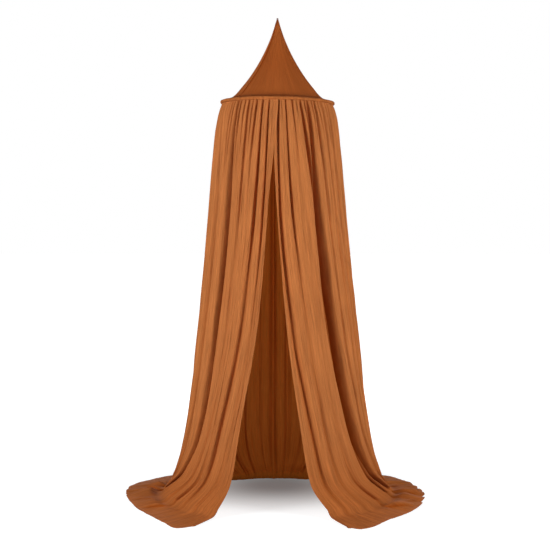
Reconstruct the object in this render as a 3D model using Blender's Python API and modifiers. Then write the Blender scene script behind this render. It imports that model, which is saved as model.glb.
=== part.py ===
"""Mosquito net canopy: a cone roof, a cased hoop and a gathered skirt that pools on the floor.

Metres, +Z up. The origin is where a ceiling hook bears inside the hanging loop, so the whole
canopy hangs below it. Heights in the constants are measured up from the floor that the skirt
lies on. Azimuths are degrees round the hanging axis: 0 is the front (-Y), 90 the right side
(+X) and 180 the back. The skirt is open in front, from its right edge to its left edge.
"""
from math import atan, cos, exp, pi, radians, sin

import bpy

# Driving sizes
HANG_HEIGHT = 2.1425         # hook above the floor
TIP_HEIGHT = 2.135           # top of the roof
HOOP_HEIGHT = 1.766          # centre of the hoop
HOOP_RADIUS = 0.247          # centre line of the hoop
HOOP_ROD = 0.005             # radius of the hoop's rod
CASING_TUBE = 0.0075         # middle of the casing's cloth, from the centre of the rod
CASING_SLIT = 24.0           # half of the casing's opening, in degrees, on its inner side
CLOTH = 0.002                # thickness of the cloth
HOOP_LEAN = 0.014            # fall of the hoop towards the right, for each metre across
SEAM_GAP = 0.0006            # half of the gap between two sewn widths
ROUND_STEPS = 36             # facets round the hoop, casing and roof

# Roof: (height above the hoop, radius) from the casing up to the tip
ROOF_PROFILE = ((0.0080, 0.2390), (0.021, 0.203), (0.068, 0.159), (0.124, 0.116),
                (0.179, 0.081), (0.239, 0.050), (0.299, 0.0255), (0.369, 0.004))
ROOF_SEAM = -55.0            # azimuth of the seam that shows; the other is opposite

# Skirt seen from the side: (height, radius) of its ridges from the floor up to the casing
SKIRT_TOP = 1.756
SKIRT_PROFILE = ((0.002, 0.530), (0.03, 0.506), (0.13, 0.455), (0.31, 0.412), (0.66, 0.368),
                 (1.11, 0.323), (1.56, 0.283), (1.69, 0.267), (1.735, 0.256), (1.756, 0.248))
BACK_DRAW = 0.105            # how much nearer the skirt's foot is at the back than the profile says
HEM_RADIUS = ((24, 0.690), (27.5, 0.735), (46, 0.662), (78, 0.655), (102, 0.675), (135, 0.735),
              (180, 0.715), (225, 0.738), (252, 0.722), (266, 0.688), (287, 0.657),
              (305, 0.667), (319, 0.709), (327, 0.755), (331, 0.690))

# Valleys between the skirt's folds, from the right front edge round to the left one: azimuths
# at the five levels, depths in millimetres at the same levels, and half of the width in
# millimetres, which is that much times WIDTH_SHARES.
FOLD_LEVELS = (1.74, 1.33, 0.82, 0.30, 0.03)
LATE_TURN = (0.14, 0.30)     # at this height a valley has turned this share of its last turn
WIDTH_SHARES = (0.45, 0.7, 1.0, 1.1, 1.1)
RIGHT_EDGE = (-5.0, -0.9, 5.8, 14.7, 24.0)
LEFT_EDGE = (360.5, 352.9, 346.7, 336.2, 331.0)
EDGE_TUCK = (7.0, 4.0, 0.0, 0.0, 0.0)   # how far the right edge lies behind the left one
RIGHT_VALLEYS = (
    ((0.4, 1.4, 9.7, 22.5, 34.0), (6, 18, 16, 22, 10), 11),
    ((8.0, 11.1, 20.3, 31.3, 46.0), (15, 21, 7, 12, 5), 9),
    ((14.5, 19.3, 29.6, 40.0, 59.0), (14, 3, 0, 5, 26), 9),
    ((22.9, 32.6, 38.8, 52.5, 78.0), (16, 40, 38, 46, 40), 11),
    ((30.8, 35.6, 42.8, 56.5, 88.0), (17, 58, 72, 88, 70), 14),
    ((39.4, 46.3, 53.3, 67.0, 98.0), (15, 18, 12, 24, 14), 9),
    ((49.5, 55.4, 63.8, 74.0, 106.0), (15, 18, 14, 30, 26), 11),
    ((60.0, 65.0, 73.5, 83.0, 113.0), (15, 24, 18, 16, 12), 12),
)
LEFT_VALLEYS = (
    ((291.5, 297.0, 294.5, 286.0, 256.0), (16, 44, 56, 52, 28), 17),
    ((308.8, 306.0, 302.0, 294.0, 262.0), (15, 4, 2, 4, 6), 8),
    ((317.6, 315.6, 311.2, 302.0, 269.0), (17, 58, 74, 92, 70), 11),
    ((331.0, 327.5, 323.6, 312.0, 291.0), (14, 10, 2, 8, 12), 9),
    ((339.5, 334.5, 329.0, 317.0, 300.0), (14, 4, 0, 5, 24), 9),
    ((345.5, 341.3, 334.5, 321.5, 309.0), (16, 26, 13, 16, 8), 9),
    ((351.8, 348.6, 342.3, 329.9, 318.0), (14, 20, 6, 6, 6), 8),
)
BACK_VALLEYS = (69.5, 81.0, 92.0, 105.5, 118.0, 131.0, 145.0, 157.5, 171.0, 184.0,
                196.5, 210.5, 224.0, 237.5, 251.0, 263.5, 274.0, 285.0)   # azimuths at the hoop
BACK_DEPTHS = ((16, 36, 44, 36, 6), (14, 22, 14, 16, 3), (15, 30, 30, 26, 5))   # in turn
BACK_WIDTH = 13
BACK_DRIFT = (0.0, 0.04, 0.11, 0.20, 0.46)    # share of the way to 180 that a valley drifts
SEAMS = (118.0, 237.5)       # the widths are joined on the folds that begin at these valleys

SKIRT_ROWS = (SKIRT_TOP, 1.735, 1.69, 1.62, 1.52, 1.38, 1.20, 1.00, 0.80, 0.60, 0.42, 0.28,
              0.16, 0.06)                # heights of the hanging rows
FLOOR_ROWS = (0.2, 0.5, 0.85, 1.0)       # share of the way from the bend to the hem
FOLD_COLUMNS = (0.0, 0.3, 0.7)           # places of the columns between two valleys
FOLD_LIFT = 0.022            # height of the folds where the skirt bends onto the floor

MUSLIN = (0.50, 0.170, 0.049, 1.0)
CORD = (0.16, 0.045, 0.02, 1.0)
PLASTIC = (0.62, 0.60, 0.56, 1.0)


def smooth_curve(points, x):
    """Value at x of a smooth curve through (x, y) points, which never overshoots them."""
    xs, ys = zip(*points)
    if x <= xs[0]:
        return ys[0]
    if x >= xs[-1]:
        return ys[-1]
    i = max(k for k in range(len(xs) - 1) if xs[k] <= x)
    rises = [(ys[k + 1] - ys[k]) / (xs[k + 1] - xs[k]) for k in range(len(xs) - 1)]

    def slope(k):
        if k == 0:
            return rises[0]
        if k == len(xs) - 1:
            return rises[-1]
        before, after = rises[k - 1], rises[k]
        return 0.0 if before * after <= 0 else 2 * before * after / (before + after)

    span = xs[i + 1] - xs[i]
    t = (x - xs[i]) / span
    start = ys[i] * (1 + 2 * t) * (1 - t) ** 2 + slope(i) * span * t * (1 - t) ** 2
    end = ys[i + 1] * (3 - 2 * t) * t ** 2 - slope(i + 1) * span * (1 - t) * t ** 2
    return start + end


def place(radius, azimuth, height):
    """Point of the canopy, with the hoop's lean fading out towards the tip and the floor."""
    x = radius * sin(radians(azimuth))
    y = -radius * cos(radians(azimuth))
    if height < HOOP_HEIGHT:
        share = height / HOOP_HEIGHT
    else:
        share = (TIP_HEIGHT - height) / (TIP_HEIGHT - HOOP_HEIGHT)
    return (x, y, height - HANG_HEIGHT - HOOP_LEAN * x * share)


def with_late_turn(values):
    """Values at the fold levels, with one more near the floor, where the folds swing outwards."""
    height, share = LATE_TURN
    added = values[3] + share * (values[4] - values[3])
    return tuple(zip(FOLD_LEVELS[:4] + (height,) + FOLD_LEVELS[4:],
                     values[:4] + (added,) + values[4:]))


def at_level(values, height):
    """Value at a height of something given at the fold levels."""
    return smooth_curve(sorted(with_late_turn(values)), height)


def make_material(name, colour, roughness):
    material = bpy.data.materials.new(name)
    material.use_nodes = True
    shader = material.node_tree.nodes["Principled BSDF"]
    shader.inputs["Base Color"].default_value = colour
    shader.inputs["Roughness"].default_value = roughness
    shader.inputs["Metallic"].default_value = 0.0
    return material


def add_object(name, data, material, collection):
    part = bpy.data.objects.new(name, data)
    part.data.materials.append(material)
    collection.objects.link(part)
    return part


def add_sheet(name, rows, material, collection):
    """Sheet of cloth through rows of points, which run round the canopy from the top down."""
    width = len(rows[0])
    points = [point for row in rows for point in row]
    faces = []
    for top in range(len(rows) - 1):
        for side in range(width - 1):
            corner = top * width + side
            faces.append((corner, corner + width, corner + width + 1, corner + 1))
    mesh = bpy.data.meshes.new(name)
    mesh.from_pydata(points, [], faces)
    mesh.shade_smooth()
    sheet = add_object(name, mesh, material, collection)
    solid = sheet.modifiers.new("cloth", "SOLIDIFY")
    solid.thickness = CLOTH
    solid.offset = 0.0
    return sheet


def valley_list():
    """All valleys in order round the skirt: azimuths and depths at the levels, and width."""
    back = []
    for number, azimuth in enumerate(BACK_VALLEYS):
        drifted = tuple(azimuth + share * (180.0 - azimuth) for share in BACK_DRIFT)
        back.append((drifted, BACK_DEPTHS[number % 3], BACK_WIDTH))
    return list(RIGHT_VALLEYS) + back + list(LEFT_VALLEYS)


def fold_depth(azimuth, height):
    """How far the folds fall behind the ridges at a place."""
    radius = smooth_curve(SKIRT_PROFILE, height)
    share = smooth_curve(sorted(zip(FOLD_LEVELS, WIDTH_SHARES)), height)
    total = 0.0
    for number, (azimuths, depths, width) in enumerate(valley_list()):
        away = radians(azimuth - at_level(azimuths, height)) * radius
        shape = exp(-(away / (width / 1000 * share)) ** 2)
        total += (at_level(depths, height) / 1000 * shape) ** 2
        if number == 0:
            tuck = smooth_curve(sorted(zip(FOLD_LEVELS, EDGE_TUCK)), height) / 1000
            total += (tuck * (1.0 if away < 0 else shape)) ** 2
    return total ** 0.5


def skirt_radius(height, azimuth):
    """Radius of the ridges, whose foot is drawn in at the back."""
    share = min(1.0, max(0.0, (60 - abs(azimuth - 180)) / 35))
    at_the_back = share ** 2 * (3 - 2 * share)
    return smooth_curve(SKIRT_PROFILE, height) - BACK_DRAW * at_the_back * exp(-(height / 0.16) ** 2)


def skirt_columns():
    """Columns of the skirt: azimuths at the levels, and whether a seam is there."""
    lines = [RIGHT_EDGE] + [azimuths for azimuths, _, _ in valley_list()] + [LEFT_EDGE]
    columns = []
    for azimuths, next_azimuths in zip(lines, lines[1:]):
        seam_here = any(abs(azimuths[0] - seam) < 0.1 for seam in SEAMS)
        if azimuths is RIGHT_EDGE:
            shares = (0.0, 0.5)
        elif seam_here:
            shares = (0.0, 0.3, 0.5, 0.7)
        else:
            shares = FOLD_COLUMNS
        for x in shares:
            place_at = tuple(a + x * (b - a) for a, b in zip(azimuths, next_azimuths))
            columns.append((place_at, seam_here and x == 0.5))
    columns.append((LEFT_EDGE, False))
    return columns


def skirt_column(azimuths, shift):
    """Points of one column from the casing to the hem, shifted sideways by a seam's half gap."""
    points = []
    for height in SKIRT_ROWS:
        azimuth = at_level(azimuths, height)
        gathered = 1 - 0.35 * exp(-(SKIRT_TOP - height) / 0.02)
        radius = skirt_radius(height, azimuth) - fold_depth(azimuth, height) * gathered
        points.append(place(radius, azimuth + shift / radius * 180 / pi, height))
    depth = fold_depth(azimuths[-1], FOLD_LEVELS[-1])
    bend = skirt_radius(CLOTH, azimuths[-1])
    hem = smooth_curve(HEM_RADIUS, azimuths[-1])
    for share in FLOOR_ROWS:
        radius = (bend - depth) * (1 - share) + hem * share
        azimuth = azimuths[-1] + shift / radius * 180 / pi
        rise = max(0.0, 1 - share / FLOOR_ROWS[-2]) ** 1.5   # the hem's edge lies flat
        lift = max(0.0, FOLD_LIFT - 1.2 * depth) * rise
        points.append(place(radius, azimuth, 0.5 * CLOTH + lift))
    return points


def build_skirt(material, collection):
    widths = [[]]
    for azimuths, seam_here in skirt_columns():
        if seam_here:
            widths[-1].append(skirt_column(azimuths, -SEAM_GAP))
            widths.append([skirt_column(azimuths, SEAM_GAP)])
        else:
            widths[-1].append(skirt_column(azimuths, 0.0))
    for name, columns in zip(("skirt_right", "skirt_back", "skirt_left"), widths):
        add_sheet(name, list(zip(*columns)), material, collection)


def build_roof(material, collection):
    per_gore = ROUND_STEPS // 2
    for name, start in (("roof_gore_front", ROOF_SEAM), ("roof_gore_back", ROOF_SEAM + 180)):
        rows = []
        for rise, radius in reversed(ROOF_PROFILE):
            gap = SEAM_GAP / radius * 180 / pi
            turn = (180 - 2 * gap) / per_gore
            rows.append([place(radius, start + gap + turn * step, HOOP_HEIGHT + rise)
                         for step in range(per_gore + 1)])
        add_sheet(name, rows, material, collection)


def build_casing(material, collection):
    """Open tube of cloth round the hoop, turned from its section, its slit facing inwards."""
    sides = 8
    turn = (360 - 2 * CASING_SLIT) / sides
    angles = [radians(180 - CASING_SLIT - turn * step) for step in range(sides + 1)]
    points = [(HOOP_RADIUS + CASING_TUBE * cos(a), 0, CASING_TUBE * sin(a)) for a in angles]
    mesh = bpy.data.meshes.new("hoop_casing")
    mesh.from_pydata(points, [(k, k + 1) for k in range(sides)], [])
    casing = add_object("hoop_casing", mesh, material, collection)
    spin = casing.modifiers.new("turn", "SCREW")
    spin.steps = ROUND_STEPS
    spin.render_steps = ROUND_STEPS
    spin.use_merge_vertices = True
    spin.merge_threshold = 0.0001
    solid = casing.modifiers.new("cloth", "SOLIDIFY")
    solid.thickness = CLOTH
    solid.offset = 0.0
    return casing


def build_hoop(material, collection):
    bpy.ops.mesh.primitive_torus_add(major_radius=HOOP_RADIUS, minor_radius=HOOP_ROD,
                                     major_segments=ROUND_STEPS, minor_segments=8)
    hoop = bpy.context.object
    hoop.name = "hoop"
    hoop.data.materials.append(material)
    for owner in list(hoop.users_collection):
        owner.objects.unlink(hoop)
    collection.objects.link(hoop)
    return hoop


def build_loop(material, collection):
    """Cord loop whose two legs are sewn into the tip, with the origin under its top."""
    cord = 0.0012
    eye = 0.0032
    leg = 0.0015
    foot = -0.016
    eye_centre = cord - eye
    route = [(-leg, foot), (-leg, -0.0085)]
    for step in range(13):
        angle = radians(230 - step * 280 / 12)
        route.append((eye * cos(angle), eye_centre + eye * sin(angle)))
    route += [(leg, -0.0085), (leg, foot)]
    curve = bpy.data.curves.new("hanging_loop", "CURVE")
    curve.dimensions = "3D"
    curve.bevel_depth = cord
    curve.bevel_resolution = 2
    curve.use_fill_caps = True
    spline = curve.splines.new("POLY")
    spline.points.add(len(route) - 1)
    for point, (x, z) in zip(spline.points, route):
        point.co = (x, 0.0, z, 1.0)
    return add_object("hanging_loop", curve, material, collection)


def build_canopy():
    for old in list(bpy.data.objects):
        bpy.data.objects.remove(old, do_unlink=True)
    collection = bpy.data.collections.new("mosquito_net_canopy")
    bpy.context.scene.collection.children.link(collection)
    muslin = make_material("muslin", MUSLIN, 0.92)
    build_roof(muslin, collection)
    for ring in (build_casing(muslin, collection),
                 build_hoop(make_material("hoop_plastic", PLASTIC, 0.45), collection)):
        ring.location.z = HOOP_HEIGHT - HANG_HEIGHT
        ring.rotation_euler.y = atan(HOOP_LEAN)
    build_skirt(muslin, collection)
    build_loop(make_material("cord", CORD, 0.85), collection)


build_canopy()
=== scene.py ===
"""Looks of the mosquito net canopy: crinkled muslin hung from a cased hoop and pooled on the floor.

Metres, in the CAD's frame. Heights are measured up from the floor, and azimuths are degrees
round the hanging axis: 0 is the front (-Y), 90 the right side (+X) and 180 the back.
"""
from math import pi, radians

import bpy
import numpy as np
from mathutils import Euler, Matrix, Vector


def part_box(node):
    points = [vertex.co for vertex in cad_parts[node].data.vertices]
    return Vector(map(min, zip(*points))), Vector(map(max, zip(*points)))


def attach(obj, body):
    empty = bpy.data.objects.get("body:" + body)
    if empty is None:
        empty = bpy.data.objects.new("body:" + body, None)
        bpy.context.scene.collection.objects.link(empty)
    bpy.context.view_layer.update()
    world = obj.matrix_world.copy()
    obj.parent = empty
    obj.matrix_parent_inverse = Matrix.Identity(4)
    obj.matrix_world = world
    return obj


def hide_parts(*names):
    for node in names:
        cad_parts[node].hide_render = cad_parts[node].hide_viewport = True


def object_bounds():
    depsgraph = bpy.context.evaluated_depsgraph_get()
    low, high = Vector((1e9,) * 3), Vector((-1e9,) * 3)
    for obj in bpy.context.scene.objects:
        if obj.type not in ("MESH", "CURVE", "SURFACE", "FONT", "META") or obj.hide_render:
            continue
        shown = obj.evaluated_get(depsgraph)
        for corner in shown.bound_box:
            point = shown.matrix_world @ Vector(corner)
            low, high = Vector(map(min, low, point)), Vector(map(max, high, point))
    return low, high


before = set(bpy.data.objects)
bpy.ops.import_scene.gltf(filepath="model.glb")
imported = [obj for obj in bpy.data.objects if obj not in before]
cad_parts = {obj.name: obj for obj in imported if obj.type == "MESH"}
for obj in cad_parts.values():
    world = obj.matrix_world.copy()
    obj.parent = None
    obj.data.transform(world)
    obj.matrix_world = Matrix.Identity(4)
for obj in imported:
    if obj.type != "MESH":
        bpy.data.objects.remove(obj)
CAD_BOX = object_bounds()

# ---------------------------------------------------------------- sizes, from the frame
FLOOR_Z = CAD_BOX[0][2]
HANG_HEIGHT = -FLOOR_Z                                   # the origin is the hanging point
HOOP_LOW, HOOP_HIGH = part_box("hoop")
HOOP_ROD = 0.005
HOOP_HEIGHT = 0.5 * (HOOP_LOW[2] + HOOP_HIGH[2]) + HANG_HEIGHT
HOOP_RADIUS = 0.5 * (HOOP_HIGH[1] - HOOP_LOW[1]) - HOOP_ROD
HOOP_LEAN = 0.014            # fall of the hoop towards the right, for each metre across
TIP_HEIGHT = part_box("roof_gore_front")[1][2] + HANG_HEIGHT
CASING_TUBE = 0.0075
SEAM_DEPTH = 0.004           # how far the top of the skirt goes up into the casing's seam
CLOTH = 0.0011               # thickness of the muslin
SEAM_GAP = 0.0006            # half of the gap between two sewn widths

# Roof: (height above the hoop, radius) from the casing up to the tip
ROOF_PROFILE = ((0.0080, 0.2390), (0.021, 0.203), (0.068, 0.159), (0.124, 0.116),
                (0.179, 0.081), (0.239, 0.050), (0.299, 0.0255), (0.369, 0.004))
ROOF_SEAM = -55.0

# Skirt seen from the side: (height, radius) of its ridges from the floor up to the casing
SKIRT_TOP = 1.756
SKIRT_PROFILE = ((0.002, 0.530), (0.03, 0.506), (0.13, 0.455), (0.31, 0.412), (0.66, 0.368),
                 (1.11, 0.323), (1.56, 0.283), (1.69, 0.267), (1.735, 0.256), (1.756, 0.248))
BACK_DRAW = 0.105            # how much nearer the skirt's foot is at the back than the profile says
HEM_RADIUS = ((24, 0.690), (27.5, 0.735), (46, 0.662), (78, 0.655), (102, 0.675), (135, 0.735),
              (180, 0.715), (225, 0.738), (252, 0.722), (266, 0.688), (287, 0.657),
              (305, 0.667), (319, 0.709), (327, 0.755), (331, 0.690))

# Valleys between the skirt's folds, from the right front edge round to the left one: azimuths
# at the five levels, depths in millimetres at the same levels, and half of the width in
# millimetres, which is that much times WIDTH_SHARES.
FOLD_LEVELS = (1.74, 1.33, 0.82, 0.30, 0.03)
LATE_TURN = (0.14, 0.30)     # at this height a valley has turned this share of its last turn
WIDTH_SHARES = (0.45, 0.7, 1.0, 1.1, 1.1)
RIGHT_EDGE = (-5.0, -0.9, 5.8, 14.7, 24.0)
LEFT_EDGE = (360.5, 352.9, 346.7, 336.2, 331.0)
EDGE_TUCK = (7.0, 4.0, 0.0, 0.0, 0.0)   # how far the right edge lies behind the left one
RIGHT_VALLEYS = (
    ((0.4, 1.4, 9.7, 22.5, 34.0), (6, 18, 16, 22, 10), 11),
    ((8.0, 11.1, 20.3, 31.3, 46.0), (15, 21, 7, 12, 5), 9),
    ((14.5, 19.3, 29.6, 40.0, 59.0), (14, 3, 0, 5, 26), 9),
    ((22.9, 32.6, 38.8, 52.5, 78.0), (16, 40, 38, 46, 40), 11),
    ((30.8, 35.6, 42.8, 56.5, 88.0), (17, 58, 72, 88, 70), 14),
    ((39.4, 46.3, 53.3, 67.0, 98.0), (15, 18, 12, 24, 14), 9),
    ((49.5, 55.4, 63.8, 74.0, 106.0), (15, 18, 14, 30, 26), 11),
    ((60.0, 65.0, 73.5, 83.0, 113.0), (15, 24, 18, 16, 12), 12),
)
LEFT_VALLEYS = (
    ((291.5, 297.0, 294.5, 286.0, 256.0), (16, 44, 56, 52, 28), 17),
    ((308.8, 306.0, 302.0, 294.0, 262.0), (15, 4, 2, 4, 6), 8),
    ((317.6, 315.6, 311.2, 302.0, 269.0), (17, 58, 74, 92, 70), 11),
    ((331.0, 327.5, 323.6, 312.0, 291.0), (14, 10, 2, 8, 12), 9),
    ((339.5, 334.5, 329.0, 317.0, 300.0), (14, 4, 0, 5, 24), 9),
    ((345.5, 341.3, 334.5, 321.5, 309.0), (16, 26, 13, 16, 8), 9),
    ((351.8, 348.6, 342.3, 329.9, 318.0), (14, 20, 6, 6, 6), 8),
)
BACK_VALLEYS = (69.5, 81.0, 92.0, 105.5, 118.0, 131.0, 145.0, 157.5, 171.0, 184.0,
                196.5, 210.5, 224.0, 237.5, 251.0, 263.5, 274.0, 285.0)   # azimuths at the hoop
BACK_DEPTHS = ((16, 36, 44, 36, 6), (14, 22, 14, 16, 3), (15, 30, 30, 26, 5))   # in turn
BACK_WIDTH = 13
BACK_DRIFT = (0.0, 0.04, 0.11, 0.20, 0.46)    # share of the way to 180 that a valley drifts
SEAMS = (118.0, 237.5)       # the widths are joined on the folds that begin at these valleys

# Creases of the cloth on the floor: (azimuths of start and end, distances out from the bend of
# start and end, height in millimetres); each lies in front of a low fold.
CREASES = (((84, 90), (0.00, 0.125), 17), ((56, 66), (0.01, 0.115), 12),
           ((103, 101), (0.00, 0.10), 11), ((70, 79), (0.05, 0.14), 6),
           ((271, 265), (0.00, 0.115), 16), ((301, 296), (0.02, 0.12), 11),
           ((285, 281), (0.04, 0.13), 7), ((256, 257), (0.00, 0.09), 9))

WIDTHS = (("right", 1.00), ("back", 0.95), ("left", 0.90))   # names and cut widths at the top
SKIRT_COLUMNS = 372          # points across each width
FLOOR_ROWS = 33              # rows of points on the floor, out from the bend
GATHER_PITCH = 4.6           # degrees between the gathers at the casing
SWAY = 0.35                  # degrees that a valley strays to either side
BEND_SOFTNESS = 0.014        # height of the soft bend where a sharp one would touch the floor
BACK_CRISPNESS = 0.009       # how much less that is at the back
SLUMP = 0.020                # how far the cloth sags inwards above the floor at the back
RIPPLE = 0.011               # height of the ripples on the floor
CORNER_LAYERS = 0.022        # how near a front edge the hem is kept clear for more layers
HANGING_CRUMPLES = ((0.0042, 0.060, 0.55, 3), (0.0026, 0.021, 0.22, 4),
                    (0.0017, 0.010, 0.14, 7))   # height, cell across and along, and seed
FLOOR_PLEATS = ((0.0030, 0.020, 0.30, 5), (0.0016, 0.010, 0.14, 9))   # the same
WIDTHS_APART = 0.01          # degrees between a width's edge and its seam
TURNED_HEM = 0.012           # width of the turned edges
HEM_GAP = 0.0016             # between the two layers of a turned edge
TURNED_COLUMNS = 40          # points in from an edge that a turned edge can reach
EDGE_ROLL = 0.004            # how far the front edges stand out
HEM_STITCHED = 0.0105        # stitches, from the turned edge
STITCH_PITCH = 0.0038        # from one stitch to the next
THREAD = 0.00035             # half of the thread's thickness

GORE_FLAT = (0.75, 0.46)     # half of the hoop's girth, and the slope of the cone
ROOF_WRINKLE = 0.0016        # depth of the roof's wrinkles, and rise of its seams
CASING_SLIT = 24             # half of the casing's opening, in degrees, on its inner side
CASING_STITCHED = (128, 232)   # degrees round the tube from its inner side, over the top
CASING_SEAMS = (108, 256)    # where the roof and the skirt are sewn on, likewise, and where the casing's painted shade is darkest

LOOP_EYE = 0.0026            # radius of the hanging loop's eye, along the middle of the cord
LOOP_LEG = 0.0014            # half of the distance between its two legs
LOOP_TOP = -0.0040           # height of the eye's middle
LOOP_FOOT = (-0.016, -0.0085)   # heights between which the legs run up inside the tip
STRAND = 0.00105             # radius of each of the cord's two strands
STRAND_OFFSET = 0.00088      # from the middle of the cord
STRAND_TWIST = 0.0042        # length of one turn

RUST = (0.50, 0.170, 0.049)  # of the skirt
PAINTED_SHADE_SHARES = (0.60, 0.38, 0.14)   # of that colour, where shade is painted into the cloth
ROOF_SHADED_RUST = (0.44, 0.120, 0.026)   # painted shade: the muslin made darker on the roof, where it is stretched smooth
LIT_THROUGH = (0.62, 0.165, 0.02)   # colour of the light that comes through the muslin
LIT_SHARE = 0.21             # share of the cloth's shading that is such light
CRINKLE_HEIGHT = 0.0034
WEAVE_PITCH = 0.0009
WEAVE_HEIGHT = 0.00012
THREAD_RUST = (0.46, 0.15, 0.04)
CORD_BROWN = (0.12, 0.025, 0.010)
ROD_GREY = (0.62, 0.60, 0.56)


# ---------------------------------------------------------------- curves and noise
def smooth_curve(points, x):
    """Values at x of a smooth curve through (x, y) points, which never overshoots them."""
    xs, ys = np.array(sorted(points), float).T
    x = np.clip(x, xs[0], xs[-1])
    rises = np.diff(ys) / np.diff(xs)
    slopes = np.concatenate([rises[:1], np.zeros(len(xs) - 2), rises[-1:]])
    before, after = rises[:-1], rises[1:]
    same_way = before * after > 0
    total = np.where(same_way, before + after, 1.0)
    slopes[1:-1] = np.where(same_way, 2 * before * after / total, 0.0)
    i = np.clip(np.searchsorted(xs, x, side="right") - 1, 0, len(xs) - 2)
    span = xs[i + 1] - xs[i]
    t = (x - xs[i]) / span
    start = ys[i] * (1 + 2 * t) * (1 - t) ** 2 + slopes[i] * span * t * (1 - t) ** 2
    end = ys[i + 1] * (3 - 2 * t) * t ** 2 - slopes[i + 1] * span * (1 - t) * t ** 2
    return start + end


def noise(u, v, seed):
    """Smooth random field with cells one unit wide, from -1 to 1."""
    cells = np.random.RandomState(seed).uniform(-1, 1, (64, 64))
    u, v = np.broadcast_arrays(u, v)
    i, j = np.floor(u).astype(int), np.floor(v).astype(int)
    s, t = u - i, v - j
    s, t = s * s * (3 - 2 * s), t * t * (3 - 2 * t)
    near = cells[i % 64, j % 64] * (1 - s) + cells[(i + 1) % 64, j % 64] * s
    far = cells[i % 64, (j + 1) % 64] * (1 - s) + cells[(i + 1) % 64, (j + 1) % 64] * s
    return near * (1 - t) + far * t


def uneven(u, v, layers, raised=0):
    """Sum of layers of noise over the cloth: (height, cell across, cell along, seed) of each."""
    return sum(height * (raised + noise(u / across, v / along, seed))
               for height, across, along, seed in layers)


def ramp(x, length):
    """0 where x is below 0, rising evenly to 1 where x is the length or more."""
    return np.clip(x / length, 0, 1)


def hump(x, width):
    """1 where x is 0, falling smoothly to either side of it."""
    return np.exp(-(x / width) ** 2)


def place(radius, azimuth, height):
    """Points of the canopy, with the hoop's lean fading out towards the tip and the floor."""
    x = radius * np.sin(np.radians(azimuth))
    y = -radius * np.cos(np.radians(azimuth))
    below = height / HOOP_HEIGHT
    above = (TIP_HEIGHT - height) / (TIP_HEIGHT - HOOP_HEIGHT)
    share = np.where(height < HOOP_HEIGHT, below, above)
    return np.stack([x, y, height - HANG_HEIGHT - HOOP_LEAN * x * share], -1)


# ---------------------------------------------------------------- meshes
def add_mesh(name, points, faces, material, uvs=None):
    """Smooth-shaded mesh object, with its cloth map where there is one."""
    mesh = bpy.data.meshes.new(name)
    mesh.from_pydata([tuple(p) for p in points], [], faces)
    if uvs is not None:
        layer = mesh.uv_layers.new(name="cloth")
        corners = np.empty(len(mesh.loops), int)
        mesh.loops.foreach_get("vertex_index", corners)
        layer.uv.foreach_set("vector", np.asarray(uvs, np.float32)[corners].ravel())
    mesh.shade_smooth()
    mesh.materials.append(material)
    piece = bpy.data.objects.new(name, mesh)
    bpy.context.scene.collection.objects.link(piece)
    return piece


def add_sheet(name, grid, uv, material):
    """Sheet of cloth through a grid of points whose rows run round the canopy, top row first.

    The cloth map's third channel is painted shade: how far the cloth's colour is darkened.
    """
    rows, columns = grid.shape[:2]
    top = np.arange(rows - 1)[:, None] * columns + np.arange(columns - 1)
    faces = np.stack([top, top + columns, top + columns + 1, top + 1], -1).reshape(-1, 4)
    uv = uv.reshape(-1, 3)
    sheet = add_mesh(name, grid.reshape(-1, 3), faces.tolist(), material, uv[:, :2])
    shade = sheet.data.attributes.new("painted_fold_shade", "FLOAT", "POINT")
    shade.data.foreach_set("value", uv[:, 2].astype(np.float32))
    return sheet


# ---------------------------------------------------------------- skirt
def late_turn(values):
    """Add the level near the floor, from which the folds swing outwards."""
    values = np.array(values, float)
    added = values[:, 3] + LATE_TURN[1] * (values[:, 4] - values[:, 3])
    return np.insert(values, 4, added, axis=1)


def fold_lines():
    """Azimuths, depths and half widths, by level, of the edges and the valleys between them."""
    back = []
    for number, azimuth in enumerate(BACK_VALLEYS):
        drifted = [azimuth + share * (180.0 - azimuth) for share in BACK_DRIFT]
        back.append((drifted, BACK_DEPTHS[number % 3], BACK_WIDTH))
    none = (0, 0, 0, 0, 0)
    lines = [(RIGHT_EDGE, none, 1), *RIGHT_VALLEYS, *back, *LEFT_VALLEYS, (LEFT_EDGE, none, 1)]
    azimuths, depths, widths = zip(*lines)
    return late_turn(azimuths), late_turn(depths) / 1000, np.array(widths) / 1000


LINE_AZIMUTHS, LINE_DEPTHS, LINE_WIDTHS = fold_lines()


def cloth_widths():
    """Distance of each line from the right edge along the cloth, which lies open at the hem."""
    ends = LINE_AZIMUTHS[:, -1]
    arcs = np.radians(np.diff(ends)) * smooth_curve(HEM_RADIUS, 0.5 * (ends[1:] + ends[:-1]))
    return np.concatenate([[0.0], np.cumsum(arcs)])


LINE_CLOTH = cloth_widths()


def at_heights(values, heights):
    """Each line's value at every height: one row for each height."""
    levels = FOLD_LEVELS[:4] + LATE_TURN[:1] + FOLD_LEVELS[4:]
    return np.stack([smooth_curve(zip(levels, line), heights) for line in values], -1)


def fold_depth(azimuth, level):
    """How far the folds fall behind the ridges, and the line between the valleys' floors."""
    centres, depths = at_heights(LINE_AZIMUTHS, level), at_heights(LINE_DEPTHS, level)
    shares = smooth_curve(zip(FOLD_LEVELS, WIDTH_SHARES), level)
    tuck = smooth_curve(zip(FOLD_LEVELS, EDGE_TUCK), level) / 1000
    radius = smooth_curve(SKIRT_PROFILE, level)
    total = np.zeros(azimuth.shape)
    for k in range(1, len(LINE_WIDTHS) - 1):
        away = np.radians(azimuth - centres[:, k:k + 1]) * radius[:, None]
        shape = hump(away, LINE_WIDTHS[k] * shares[:, None])
        total += (depths[:, k:k + 1] * shape) ** 2
        if k == 1:
            shape = np.where(away < 0, 1.0, shape)
            total += (tuck[:, None] * shape) ** 2
    return np.sqrt(total)


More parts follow.
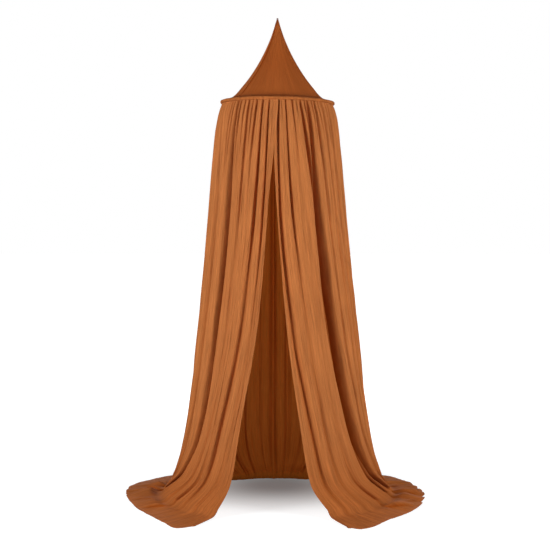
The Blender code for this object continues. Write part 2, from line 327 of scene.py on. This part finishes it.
def at_the_back(azimuth):
    """1 across the back of the canopy, falling to 0 at its sides."""
    share = ramp(60 - np.abs(azimuth - 180), 35)
    return share ** 2 * (3 - 2 * share)


def skirt_radius(height, azimuth):
    """Radius of the ridges: the foot is drawn in at the back."""
    foot = hump(height, 0.16)
    return smooth_curve(SKIRT_PROFILE, height) - BACK_DRAW * at_the_back(azimuth) * foot


def hanging_rows():
    """Heights of the rows from the casing down, closest where the cloth is gathered or bends."""
    heights = [SKIRT_TOP + SEAM_DEPTH, SKIRT_TOP + 0.5 * SEAM_DEPTH, SKIRT_TOP]
    while heights[-1] > 0:
        drop = SKIRT_TOP - heights[-1]
        step = 0.0035 + 0.0085 * min(1.0, drop / 0.12)
        if heights[-1] < 0.16:
            step = 0.0055
        heights.append(heights[-1] - step)
    return np.array(heights)


def gathers(ring, drop):
    """Small pleats between the valleys, sewn in at the casing and fading out below it."""
    random = np.random.RandomState(11)
    total = np.zeros((len(drop), len(ring)))
    starts = LINE_AZIMUTHS[:, 0]
    for left, right in zip(starts[1:-1], starts[2:]):
        count = int(round((right - left) / GATHER_PITCH)) - 1
        for k in range(count):
            middle = left + (right - left) * (k + 1 + random.uniform(-0.16, 0.16)) / (count + 1)
            depth = random.uniform(0.006, 0.012)
            fade = random.uniform(0.06, 0.30)
            width = random.uniform(0.48, 0.78)
            across = hump(ring - middle, width)
            total += (depth * across * np.exp(-(drop[:, None] / fade) ** 1.6)) ** 2
    return total


def hanging_depth(ring, azimuth, level, u):
    """How far the cloth hangs behind the ridges, in valleys that stray a little and in gathers."""
    drop = np.maximum(SKIRT_TOP - level, 0)
    sway = SWAY * noise(u / 0.16, drop[:, None] / 0.45, 6) * ramp(drop, 0.2)[:, None]
    depth = fold_depth(azimuth + sway, level)
    depth = np.sqrt(depth ** 2 + gathers(ring, drop))
    sewn_in = 1 - 0.6 * ramp(level - SKIRT_TOP, SEAM_DEPTH)
    return depth * (sewn_in * (1 - 0.35 * np.exp(-drop / 0.02)))[:, None]


def ridge_lift(ridge, out, share):
    """Height that the hanging ridges keep as they run out over the floor."""
    lift = ridge * (1.0 - hump(out, 0.030))
    return lift * (0.55 * np.exp(-out / 0.10) + 0.10 * (1 - share))


def fanned_pleats(azimuth, out, share, u, v):
    """Height of the fine pleats and the ripples on the floor, lower behind and at the hem."""
    from_back = np.abs(azimuth - 180)
    aside = 0.45 + 0.55 * ramp(from_back - 20, 20)
    aside = aside * ramp(112 - from_back, 20)
    ripple = RIPPLE * aside * np.clip(0.35 + noise(u / 0.050, v / 0.60, 10), 0, None)
    settled = 1 - 0.75 * share ** 2
    return ramp(out, 0.04) * settled * (uneven(u, v, FLOOR_PLEATS, 1) + ripple)


def floor_creases(azimuth, out, radius):
    """Heights of the low folds behind the creases on the floor, and where painted shade goes in the
    creases.
    """
    folds, creases = 0.0, 0.0
    for (start, end), (near, far), size in CREASES:
        along = ramp(out - near, far - near)
        behind = np.radians(azimuth - start - (end - start) * along) * radius
        if start > 180:
            behind = -behind
        reach = ramp(out - near, 0.025) * ramp(far - out, 0.04)
        folds = folds + size / 1000 * reach * hump(behind - 0.028, 0.017)
        creases = creases + min(1.0, size / 10) * reach * hump(behind - 0.008, 0.010)
    return folds, creases


def shade_of_folds(azimuth, level, height, depth, out, creases):
    """Painted shade: how far the colour is darkened low in the valleys, in the creases, near the
    floor and round the foot at the back.
    """
    low = ramp(1.35 - level, 0.5)[:, None] * (1 - at_the_back(azimuth))
    valleys = low * ramp(depth, 0.040) * np.exp(-out / 0.05)
    foot = at_the_back(azimuth) * hump(height - 0.025, 0.035)
    shade = np.maximum(valleys, 0.62 * creases)
    return np.clip(shade + 0.45 * hump(height, 0.24) + 0.6 * foot, 0, 1)


def skirt_grid(first, last):
    """Points of one width of the skirt, between two azimuths at the hoop, and its cloth map with its
    painted shade.

    The first rows hang from the casing, and the others lie on the floor: level is 0 there, and
    share runs from 0 at the bend to 1 at the hem. The bend itself is soft: out says how far the
    cloth has been carried outwards on its way round it.
    """
    ring = np.linspace(first, last, SKIRT_COLUMNS)
    heights = hanging_rows()
    shares = np.linspace(0, 1, FLOOR_ROWS + 1)[1:]
    level = np.concatenate([heights, np.zeros(len(shares))])
    share = np.concatenate([np.zeros(len(heights)), shares])[:, None]
    drop = np.maximum(SKIRT_TOP - level, 0)

    starts = LINE_AZIMUTHS[:, 0]
    line = np.clip(np.searchsorted(starts, ring, side="right") - 1, 0, len(starts) - 2)
    x = (ring - starts[line]) / (starts[line + 1] - starts[line])
    azimuths = at_heights(LINE_AZIMUTHS, level)
    depths = at_heights(LINE_DEPTHS, level)
    azimuth = azimuths[:, line] * (1 - x) + azimuths[:, line + 1] * x
    between = depths[:, line] * (1 - x) + depths[:, line + 1] * x
    u = np.interp(ring, starts, LINE_CLOTH)
    depth = hanging_depth(ring, azimuth, level, u)

    hem = smooth_curve(HEM_RADIUS, azimuth)
    bend = skirt_radius(0.0, azimuth)
    fall = np.where(share > 0, -share * (hem - bend), level[:, None])
    softness = BEND_SOFTNESS - BACK_CRISPNESS * at_the_back(azimuth)
    height = 0.5 * (fall + np.sqrt(fall ** 2 + 4 * softness ** 2))
    out = height - fall
    v = drop[:, None] + share * (hem - bend)
    radius = skirt_radius(height, azimuth) - depth * np.exp(-out / 0.10) + out
    slump = SLUMP * (ramp(62 - np.abs(azimuth - 180), 20) * hump(height - 0.035, 0.030))
    radius -= slump * (1 + noise(u / 0.09, v / 0.5, 8)) * np.exp(-out / 0.02)

    to_edge = np.minimum(azimuth - azimuths[:, :1], azimuths[:, -1:] - azimuth)
    to_edge = np.radians(to_edge) * radius
    radius += EDGE_ROLL * hump(to_edge, 0.007)
    hung = ramp(drop, 0.12)[:, None] * np.exp(-out / 0.08)
    radius += hung * uneven(u, v, HANGING_CRUMPLES)

    lift = ridge_lift(np.clip(between - depth, 0, None), out, share)
    folds, creases = floor_creases(azimuth, out, radius)
    pleats = fanned_pleats(azimuth, out, share, u, v)
    height = height + lift + folds + pleats + 0.5 * CLOTH
    layers = HEM_GAP * (1 + np.exp(-(to_edge / CORNER_LAYERS) ** 4))
    height = np.where(share > 0, np.maximum(height, 0.5 * CLOTH + layers), height)
    # painted shade in the valleys, the creases, near the floor and round the foot
    shade = shade_of_folds(azimuth, level, height, depth, out, creases)
    uv = np.stack(np.broadcast_arrays(u, v, shade), -1)
    return place(radius, azimuth, height), uv


def surface_normals(grid):
    """Unit normals of a grid of points, on the side that faces out of the canopy."""
    down = np.gradient(grid, axis=0)
    along = np.gradient(grid, axis=1)
    normal = np.cross(down, along)
    return normal / np.maximum(np.linalg.norm(normal, axis=-1, keepdims=True), 1e-12)


def in_from_edge(grid):
    """Points next to the last column, their normals, and how far along the cloth each lies."""
    back = grid[:, ::-1][:, :TURNED_COLUMNS]
    normals = surface_normals(grid)[:, ::-1][:, :TURNED_COLUMNS]
    steps = np.linalg.norm(np.diff(back, axis=1), axis=-1)
    arc = np.concatenate([np.zeros((len(grid), 1)), np.cumsum(steps, axis=1)], axis=1)
    return back, normals, arc


def turn_edge(grid, uv):
    """Fold the last columns of a grid back on its inner side, as a flat hem."""
    back, normals, arc = in_from_edge(grid)
    inner, inner_uv = [], []
    for inset in np.linspace(0.08, 1.0, 5) * TURNED_HEM:
        row = [[np.interp(inset, a, c) for c in (p - n * HEM_GAP).T]
               for a, p, n in zip(arc, back, normals)]
        inner.append(row)
        inner_uv.append(uv[:, -1] + (inset, 0.0, 0.0))
    outward = grid[:, -1] - grid[:, -2]
    outward /= np.linalg.norm(outward, axis=-1, keepdims=True)
    fold = grid[:, -1] - 0.5 * HEM_GAP * normals[:, 0] + 0.5 * HEM_GAP * outward
    grid = np.concatenate([grid, fold[:, None], np.swapaxes(inner, 0, 1)], axis=1)
    uv = np.concatenate([uv, uv[:, -1:] + (0.0006, 0.0, 0.0), np.swapaxes(inner_uv, 0, 1)], axis=1)
    return grid, uv


def turn_hem(grid, uv):
    """Fold the last rows of a grid under, as the hem that lies on the floor."""
    inner, inner_uv = [], []
    inward = grid[-2] - grid[-1]
    inward[:, 2] = 0
    inward /= np.linalg.norm(inward, axis=-1, keepdims=True)
    for inset in (-0.0005, 0.0, 0.004, 0.008, 0.012):
        row = grid[-1] + inward * inset
        row[:, 2] -= HEM_GAP * (0.5 if inset < 0 else 1.0)
        inner.append(row)
        inner_uv.append(uv[-1] + (0.0, 0.001 + inset, 0.0))
    return np.concatenate([grid, inner]), np.concatenate([uv, inner_uv])


def add_stitches(name, path, normals, material):
    """Row of short stitches along a path on the cloth, as one piece."""
    arc = np.concatenate([[0.0], np.cumsum(np.linalg.norm(np.diff(path, axis=0), axis=1))])
    places = np.arange(0.5 * STITCH_PITCH, arc[-1], STITCH_PITCH)

    def along_path(where, values):
        return np.stack([np.interp(where, arc, values[:, k]) for k in range(3)], -1)

    middle = along_path(places, path)
    half = along_path(places + 0.3 * STITCH_PITCH, path) - middle
    up = along_path(places, normals)
    across = np.cross(half, up)
    across /= np.maximum(np.linalg.norm(across, axis=1, keepdims=True), 1e-9)
    points = []
    for end, side, rise in ((-1, -0.7, 0), (-1, 0.7, 0), (1, 0.7, 0), (1, -0.7, 0),
                            (-0.6, -0.35, 1), (-0.6, 0.35, 1), (0.6, 0.35, 1), (0.6, -0.35, 1)):
        raised = (0.4 + rise * 0.8) * THREAD * up
        points.append(middle + end * half + side * THREAD * across + raised)
    points = np.stack(points, 1).reshape(-1, 3)
    sides = ((0, 1, 2, 3), (7, 6, 5, 4), (0, 4, 5, 1), (1, 5, 6, 2), (2, 6, 7, 3), (3, 7, 4, 0))
    faces = [tuple(8 * k + corner for corner in side)
             for k in range(len(places)) for side in sides]
    stitches = add_mesh(name, points, faces, material)
    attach(stitches, "root")
    return stitches


def inset_column(grid, inset):
    """Path along the last column of a grid, that far in from it, and its normals."""
    back, normals, arc = in_from_edge(grid)
    path = [[np.interp(inset, a, c) for c in p.T] for a, p in zip(arc, back)]
    facing = [[np.interp(inset, a, c) for c in n.T] for a, n in zip(arc, normals)]
    return np.array(path), np.array(facing)


def build_skirt(material, thread):
    """The three gathered widths, with their turned edges and stitched hems."""
    lines = LINE_AZIMUTHS[:, 0]
    joins = [lines[0]]
    for seam in SEAMS:
        k = int(np.argmin(np.abs(lines - seam)))
        joins.append(0.5 * (lines[k] + lines[k + 1]))
    joins.append(lines[-1])
    for (name, top_width), first, last in zip(WIDTHS, joins, joins[1:]):
        start = first + (WIDTHS_APART if name != "right" else 0.0)
        stop = last - (WIDTHS_APART if name != "left" else 0.0)
        grid, uv = skirt_grid(start, stop)
        across = np.swapaxes(grid, 0, 1)
        path, facing = inset_column(across, HEM_STITCHED)
        stitched = [add_stitches(f"{name}_floor_hem_stitches", path, -facing, thread)]
        if name == "left":
            path, facing = inset_column(grid[2:-4], HEM_STITCHED)
            stitched.append(add_stitches("left_front_hem_stitches", path, facing, thread))
        if name == "right":
            path, facing = inset_column(grid[2:-4, ::-1], HEM_STITCHED)
            stitched.append(add_stitches("right_front_hem_stitches", path, -facing, thread))
        grid, uv = turn_hem(grid, uv)
        if name == "left":
            grid, uv = turn_edge(grid, uv)
        if name == "right":
            grid, uv = turn_edge(grid[:, ::-1], uv[:, ::-1] * (-1, 1, 1))
            grid, uv = grid[:, ::-1], uv[:, ::-1]
        sheet = add_sheet(f"{name}_width", grid, uv, material)
        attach(sheet, "root")
        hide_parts(f"skirt_{name}")


# ---------------------------------------------------------------- roof
def build_roof(material, thread):
    """The two gores of the concave cone, a little puckered along their seams."""
    for name, start in (("front", ROOF_SEAM), ("back", ROOF_SEAM + 180)):
        rise = np.linspace(ROOF_PROFILE[-1][0], ROOF_PROFILE[0][0], 170)[:, None]
        radius = smooth_curve(ROOF_PROFILE, rise)
        gap = np.degrees(SEAM_GAP / radius)
        turn = np.linspace(0, 1, 200)
        azimuth = start + gap + (180 - 2 * gap) * turn
        middle = np.sin(pi * ramp(rise - 0.01, 0.35))
        wrinkle = noise(azimuth / 7.0, rise / 0.30, 21) + 0.5 * noise(azimuth / 3.1, rise / 0.18, 22)
        radius = radius + ROOF_WRINKLE * middle * wrinkle
        edge = np.minimum(turn, 1 - turn) * np.radians(180) * radius
        radius = radius + ROOF_WRINKLE * hump(edge, 0.005) * middle
        grid = place(radius, azimuth, HOOP_HEIGHT + rise)
        # Painted shade: the front gore is darkened all over, most along its seam and about the
        # middle of its height; the back gore is left lighter.
        shade = np.zeros_like(edge)
        if name == "front":
            shade = 0.15 + 0.8 * hump(edge, 0.007) + 0.22 * hump(rise - 0.20, 0.11)
        shade = np.clip(shade, 0, 1)
        uv = np.stack(np.broadcast_arrays(turn * GORE_FLAT[0], -rise, shade), -1)
        path, facing = inset_column(grid[4:], 0.004)
        stitched = [add_stitches(f"{name}_roof_seam_stitches", path, facing, thread)]
        gore = add_sheet(f"{name}_gore", grid, uv, material)
        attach(gore, "root")
        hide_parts(f"roof_gore_{name}")


# ---------------------------------------------------------------- casing, hoop and loop
def build_casing(material, thread):
    """The strip that is sewn round the hoop as a tube, open along its inner side."""
    around = np.linspace(0, 2 * pi, 721)[None, :]
    section = np.linspace(radians(CASING_SLIT), radians(360 - CASING_SLIT), 40)[:, None]
    pucker = noise(around * 14 + section * 0.8, section * 0.9, 31) * 0.0007
    pucker = pucker + noise(around * 40 + section * 1.5, section * 1.3, 32) * 0.0004
    tube = CASING_TUBE + pucker * (np.sin(section / 2) ** 2)
    radius = HOOP_RADIUS - tube * np.cos(section)
    height = tube * np.sin(section) + 0 * around
    x = radius * np.sin(around)
    y = -radius * np.cos(around)
    grid = np.stack([x, y, height + HOOP_HEIGHT - HANG_HEIGHT - HOOP_LEAN * x], -1)
    # Painted shade: the casing is darkened all over, most along the lines where the roof and the
    # skirt are sewn on.
    seams = sum(hump(section - radians(turn), radians(16)) for turn in CASING_SEAMS)
    shade = np.clip(0.38 + 0.24 * seams, 0, 1)
    uv = np.stack(np.broadcast_arrays(around * HOOP_RADIUS, section * CASING_TUBE, shade), -1)
    for name, turn in zip(("upper", "lower"), CASING_STITCHED):
        row = int(np.argmin(np.abs(section[:, 0] - radians(turn))))
        facing = -np.swapaxes(surface_normals(grid), 0, 1)[:, row]
        if np.mean(np.sum(facing[:, :2] * grid[row][:, :2], axis=1)) < 0:
            facing = -facing
        add_stitches(f"casing_{name}_stitches", grid[row], facing, thread)
    casing = add_sheet("casing_strip", grid, uv, material)
    weld = casing.modifiers.new("close", "WELD")
    weld.merge_threshold = 0.00002
    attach(casing, "root")
    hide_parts("hoop_casing")


def build_loop(material):
    """Loop of two-strand twisted cord, whose two legs are sewn into the tip."""
    turn = np.radians(np.linspace(232, -52, 40))
    foot = np.linspace(*LOOP_FOOT, 12)
    leg = np.full(len(foot), LOOP_LEG)
    x = np.concatenate([-leg, LOOP_EYE * np.cos(turn), leg])
    z = np.concatenate([foot, LOOP_TOP + LOOP_EYE * np.sin(turn), foot[::-1]])
    route = np.stack([x, 0 * x, z], -1)
    step = np.gradient(route, axis=0)
    step /= np.linalg.norm(step, axis=1, keepdims=True)
    side = np.stack([-step[:, 2], 0 * x, step[:, 0]], -1)
    arc = np.concatenate([[0.0], np.cumsum(np.linalg.norm(np.diff(route, axis=0), axis=1))])
    curve = bpy.data.curves.new("loop_cord", "CURVE")
    curve.dimensions = "3D"
    curve.bevel_depth = STRAND
    curve.bevel_resolution = 3
    curve.use_fill_caps = True
    for start in (0.0, pi):
        twist = (start + 2 * pi * arc / STRAND_TWIST)[:, None]
        outward = np.cos(twist) * side + np.sin(twist) * np.array((0.0, 1.0, 0.0))
        strand = route + STRAND_OFFSET * outward
        spline = curve.splines.new("POLY")
        spline.points.add(len(strand) - 1)
        for point, place_at in zip(spline.points, strand):
            point.co = (*place_at, 1.0)
    curve.materials.append(material)
    loop = bpy.data.objects.new("loop_cord", curve)
    bpy.context.scene.collection.objects.link(loop)
    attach(loop, "root")
    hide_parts("hanging_loop")


# ---------------------------------------------------------------- materials
def new_material(name):
    """Empty material, its nodes, its links and its shader."""
    material = bpy.data.materials.new(name)
    material.use_nodes = True
    nodes, links = material.node_tree.nodes, material.node_tree.links
    return material, nodes, links, nodes["Principled BSDF"]


def muslin(name, dye, streaks):
    """Matt cotton muslin, crinkled along its length, with a fine plain weave, darkened by the
    painted shade that its sheets carry.
    """
    material, nodes, links, shader = new_material(name)
    cloth_map = nodes.new("ShaderNodeUVMap")
    cloth_map.uv_map = "cloth"

    def stretched_noise(across, along, detail, roughness=0.55):
        mapping = nodes.new("ShaderNodeMapping")
        mapping.inputs["Scale"].default_value = (across, along, 1.0)
        texture = nodes.new("ShaderNodeTexNoise")
        texture.inputs["Scale"].default_value = 1.0
        texture.inputs["Detail"].default_value = detail
        texture.inputs["Roughness"].default_value = roughness
        links.new(cloth_map.outputs["UV"], mapping.inputs["Vector"])
        links.new(mapping.outputs["Vector"], texture.inputs["Vector"])
        return texture.outputs["Fac"]

    def math(operation, first, second):
        node = nodes.new("ShaderNodeMath")
        node.operation = operation
        for socket, value in zip(node.inputs, (first, second)):
            if isinstance(value, (int, float)):
                socket.default_value = value
            else:
                links.new(value, socket)
        return node.outputs[0]

    def threads(direction):
        wave = nodes.new("ShaderNodeTexWave")
        wave.bands_direction = direction
        wave.inputs["Scale"].default_value = 2 * pi / (20 * WEAVE_PITCH)
        wave.inputs["Distortion"].default_value = 0.6
        wave.inputs["Detail"].default_value = 1.0
        links.new(cloth_map.outputs["UV"], wave.inputs["Vector"])
        return wave.outputs["Fac"]

    crinkle = stretched_noise(95.0, 6.0, 6.0, 0.68)
    broad = stretched_noise(38.0, 3.0, 3.0)
    height = math("ADD", math("MULTIPLY", crinkle, 0.6), math("MULTIPLY", broad, 1.2))
    bump = nodes.new("ShaderNodeBump")
    bump.inputs["Strength"].default_value = 0.9
    bump.inputs["Distance"].default_value = CRINKLE_HEIGHT
    links.new(height, bump.inputs["Height"])
    weave = nodes.new("ShaderNodeBump")
    weave.inputs["Strength"].default_value = 0.35
    weave.inputs["Distance"].default_value = WEAVE_HEIGHT
    links.new(math("MULTIPLY", threads("X"), threads("Y")), weave.inputs["Height"])
    links.new(bump.outputs["Normal"], weave.inputs["Normal"])
    links.new(weave.outputs["Normal"], shader.inputs["Normal"])

    # Colour streaks following the crinkles' height, darker in their hollows: partly the cloth's
    # uneven tone, partly painted shade of the crinkles.
    shade = nodes.new("ShaderNodeMapRange")
    shade.inputs["From Min"].default_value = 0.3
    shade.inputs["From Max"].default_value = 0.7
    links.new(crinkle, shade.inputs["Value"])
    colour = nodes.new("ShaderNodeMix")
    colour.data_type = "RGBA"
    colour.inputs["A"].default_value = (*[c * (1 - streaks) for c in dye], 1.0)
    colour.inputs["B"].default_value = (*[c * (1 + streaks) for c in dye], 1.0)
    links.new(shade.outputs["Result"], colour.inputs["Factor"])
    # Painted shade: the colour is darkened by the amount that each sheet carries
    painted_shade_amount = nodes.new("ShaderNodeAttribute")
    painted_shade_amount.attribute_name = "painted_fold_shade"
    painted_shade_mix = nodes.new("ShaderNodeMix")
    painted_shade_mix.data_type = "RGBA"
    painted_shade_mix.blend_type = "MULTIPLY"
    painted_shade_mix.inputs["B"].default_value = (*PAINTED_SHADE_SHARES, 1.0)
    links.new(painted_shade_amount.outputs["Fac"], painted_shade_mix.inputs["Factor"])
    links.new(colour.outputs["Result"], painted_shade_mix.inputs["A"])
    links.new(painted_shade_mix.outputs["Result"], shader.inputs["Base Color"])
    links.new(math("ADD", math("MULTIPLY", broad, 0.12), 0.84), shader.inputs["Roughness"])
    shader.inputs["Sheen Weight"].default_value = 0.01
    shader.inputs["Sheen Roughness"].default_value = 0.5
    shader.inputs["Sheen Tint"].default_value = (1.0, 0.75, 0.55, 1.0)
    shader.inputs["Specular IOR Level"].default_value = 0.06

    through = nodes.new("ShaderNodeBsdfTranslucent")
    through.inputs["Color"].default_value = (*LIT_THROUGH, 1.0)
    links.new(weave.outputs["Normal"], through.inputs["Normal"])
    thin = nodes.new("ShaderNodeMixShader")
    thin.inputs["Fac"].default_value = LIT_SHARE
    links.new(shader.outputs["BSDF"], thin.inputs[1])
    links.new(through.outputs["BSDF"], thin.inputs[2])
    links.new(thin.outputs["Shader"], nodes["Material Output"].inputs["Surface"])
    return material


def simple_material(name, colour, roughness, scale):
    """One colour, mottled and slightly uneven, for thread, cord and rod."""
    material, nodes, links, shader = new_material(name)
    texture = nodes.new("ShaderNodeTexNoise")
    texture.inputs["Scale"].default_value = scale
    texture.inputs["Detail"].default_value = 4.0
    coordinates = nodes.new("ShaderNodeTexCoord")
    links.new(coordinates.outputs["Object"], texture.inputs["Vector"])
    mix = nodes.new("ShaderNodeMix")
    mix.data_type = "RGBA"
    mix.inputs["A"].default_value = (*[0.85 * c for c in colour], 1.0)
    mix.inputs["B"].default_value = (*[1.15 * c for c in colour], 1.0)
    links.new(texture.outputs["Fac"], mix.inputs["Factor"])
    links.new(mix.outputs["Result"], shader.inputs["Base Color"])
    bump = nodes.new("ShaderNodeBump")
    bump.inputs["Strength"].default_value = 0.3
    bump.inputs["Distance"].default_value = 0.0003
    links.new(texture.outputs["Fac"], bump.inputs["Height"])
    links.new(bump.outputs["Normal"], shader.inputs["Normal"])
    shader.inputs["Roughness"].default_value = roughness
    return material


# ---------------------------------------------------------------- studio
CAMERA_PLACE = (-0.011, -6.0, 1.2)   # with the height above the floor
CAMERA_TILT = 1.91           # degrees below level
LENS = 87.8
FLOOR_REACH = 60.0
WORLD_LIGHT = 0.22
SOFTBOXES = (                # name, place with height above the floor, width and height, watts
    ("left_softbox", (-2.75, -2.2, 1.60), (1.3, 1.4), 122.0),
    ("right_softbox", (2.75, -2.2, 1.60), (1.3, 1.4), 112.0),
    ("front_softbox", (0.0, -4.6, 2.1), (2.4, 1.2), 12.0),
    ("back_softbox", (0.0, 4.6, 1.6), (2.4, 1.4), 140.0),
)


def floor_material():
    """Pale floor, which glows white to the camera and least so under the canopy, as a painted
    shadow; its colour is darker and bluer there too.
    """
    material, nodes, links, shader = new_material("studio_floor")
    shader.inputs["Roughness"].default_value = 0.9
    shader.inputs["Specular IOR Level"].default_value = 0.1
    shader.inputs["Emission Color"].default_value = (1.0, 1.0, 1.0, 1.0)
    where = nodes.new("ShaderNodeTexCoord")
    away = nodes.new("ShaderNodeVectorMath")
    away.operation = "DISTANCE"
    away.inputs[1].default_value = (0.0, 0.30, FLOOR_Z)
    # mask of the painted shadow: 0 under the canopy, 1 out on the open floor
    outside_painted_shadow = nodes.new("ShaderNodeMapRange")
    outside_painted_shadow.interpolation_type = "SMOOTHSTEP"
    outside_painted_shadow.inputs["From Min"].default_value = 0.05
    outside_painted_shadow.inputs["From Max"].default_value = 0.75
    albedo = nodes.new("ShaderNodeMix")
    albedo.data_type = "RGBA"
    albedo.inputs["A"].default_value = (0.25, 0.30, 0.32, 1.0)
    albedo.inputs["B"].default_value = (0.30, 0.32, 0.33, 1.0)
    links.new(where.outputs["Object"], away.inputs[0])
    links.new(away.outputs["Value"], outside_painted_shadow.inputs["Value"])
    links.new(outside_painted_shadow.outputs["Result"], albedo.inputs["Factor"])
    links.new(albedo.outputs["Result"], shader.inputs["Base Color"])

    glow = nodes.new("ShaderNodeMath")
    glow.operation = "MULTIPLY_ADD"
    glow.inputs[1].default_value = 0.72
    glow.inputs[2].default_value = 0.14
    far_floor = nodes.new("ShaderNodeMapRange")
    far_floor.inputs["From Min"].default_value = 1.2
    far_floor.inputs["From Max"].default_value = 3.5
    far_floor.inputs["To Max"].default_value = 0.3
    brighter = nodes.new("ShaderNodeMath")
    path = nodes.new("ShaderNodeLightPath")
    seen = nodes.new("ShaderNodeMath")
    seen.operation = "MULTIPLY"
    links.new(outside_painted_shadow.outputs["Result"], glow.inputs[0])
    links.new(away.outputs["Value"], far_floor.inputs["Value"])
    links.new(glow.outputs["Value"], brighter.inputs[0])
    links.new(far_floor.outputs["Result"], brighter.inputs[1])
    links.new(brighter.outputs["Value"], seen.inputs[0])
    links.new(path.outputs["Is Camera Ray"], seen.inputs[1])
    links.new(seen.outputs["Value"], shader.inputs["Emission Strength"])
    return material


def build_floor():
    corners = [(x * FLOOR_REACH, y * FLOOR_REACH, FLOOR_Z)
               for x, y in ((-1, -1), (1, -1), (1, 1), (-1, 1))]
    floor = add_mesh("studio_floor", corners, [(0, 1, 2, 3)], floor_material())


def build_softboxes():
    """Each softbox faces the hanging axis, at its own height."""
    for name, place_at, size, power in SOFTBOXES:
        lamp = bpy.data.lights.new(name, "AREA")
        lamp.shape = "RECTANGLE"
        lamp.size, lamp.size_y = size
        lamp.energy = power
        holder = bpy.data.objects.new(name, lamp)
        holder.location = (place_at[0], place_at[1], place_at[2] + FLOOR_Z)
        aim = Vector((0, 0, FLOOR_Z + place_at[2])) - holder.location
        holder.rotation_euler = aim.to_track_quat("-Z", "Y").to_euler()
        bpy.context.scene.collection.objects.link(holder)


def build_world():
    """Plain white to look at, and a soft light that is weakest overhead."""
    world = bpy.data.worlds.new("studio")
    bpy.context.scene.world = world
    world.use_nodes = True
    nodes, links = world.node_tree.nodes, world.node_tree.links
    soft = nodes["Background"]
    soft.inputs["Strength"].default_value = WORLD_LIGHT
    white = nodes.new("ShaderNodeBackground")
    white.inputs["Color"].default_value = (1.0, 1.0, 1.0, 1.0)
    direction = nodes.new("ShaderNodeTexCoord")
    parts = nodes.new("ShaderNodeSeparateXYZ")
    fade = nodes.new("ShaderNodeMapRange")
    fade.inputs["From Min"].default_value = 0.0
    fade.inputs["From Max"].default_value = 0.8
    fade.inputs["To Min"].default_value = 1.0
    fade.inputs["To Max"].default_value = 0.10
    links.new(direction.outputs["Generated"], parts.inputs["Vector"])
    links.new(parts.outputs["Z"], fade.inputs["Value"])
    links.new(fade.outputs["Result"], soft.inputs["Color"])
    path = nodes.new("ShaderNodeLightPath")
    seen = nodes.new("ShaderNodeMixShader")
    links.new(path.outputs["Is Camera Ray"], seen.inputs["Fac"])
    links.new(soft.outputs["Background"], seen.inputs[1])
    links.new(white.outputs["Background"], seen.inputs[2])
    links.new(seen.outputs["Shader"], nodes["World Output"].inputs["Surface"])


def build_camera():
    """Camera in front of the canopy, just over half of its height up."""
    camera = bpy.data.objects.new("camera", bpy.data.cameras.new("camera"))
    camera.data.sensor_width = 36.0
    camera.data.lens = LENS
    camera.location = (CAMERA_PLACE[0], CAMERA_PLACE[1], FLOOR_Z + CAMERA_PLACE[2])
    camera.rotation_euler = Euler((radians(90 - CAMERA_TILT), 0.0, 0.0))
    bpy.context.scene.collection.objects.link(camera)
    bpy.context.scene.camera = camera


# ---------------------------------------------------------------- the canopy
skirt_cloth = muslin("muslin", RUST, 0.30)
# The roof is the skirt's muslin in a darker colour: painted shade.
roof_shaded_cloth = muslin("roof_muslin_painted_shade", ROOF_SHADED_RUST, 0.12)
sewing_thread = simple_material("sewing_thread", THREAD_RUST, 0.7, 1500.0)
build_skirt(skirt_cloth, sewing_thread)
build_roof(roof_shaded_cloth, sewing_thread)
build_casing(skirt_cloth, sewing_thread)
build_loop(simple_material("cord", CORD_BROWN, 0.85, 900.0))
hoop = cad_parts["hoop"]
hoop.data.materials.clear()
hoop.data.materials.append(simple_material("hoop_rod", ROD_GREY, 0.45, 60.0))
build_camera()
build_floor()
build_world()
build_softboxes()
bpy.context.scene.view_settings.view_transform = "Standard"
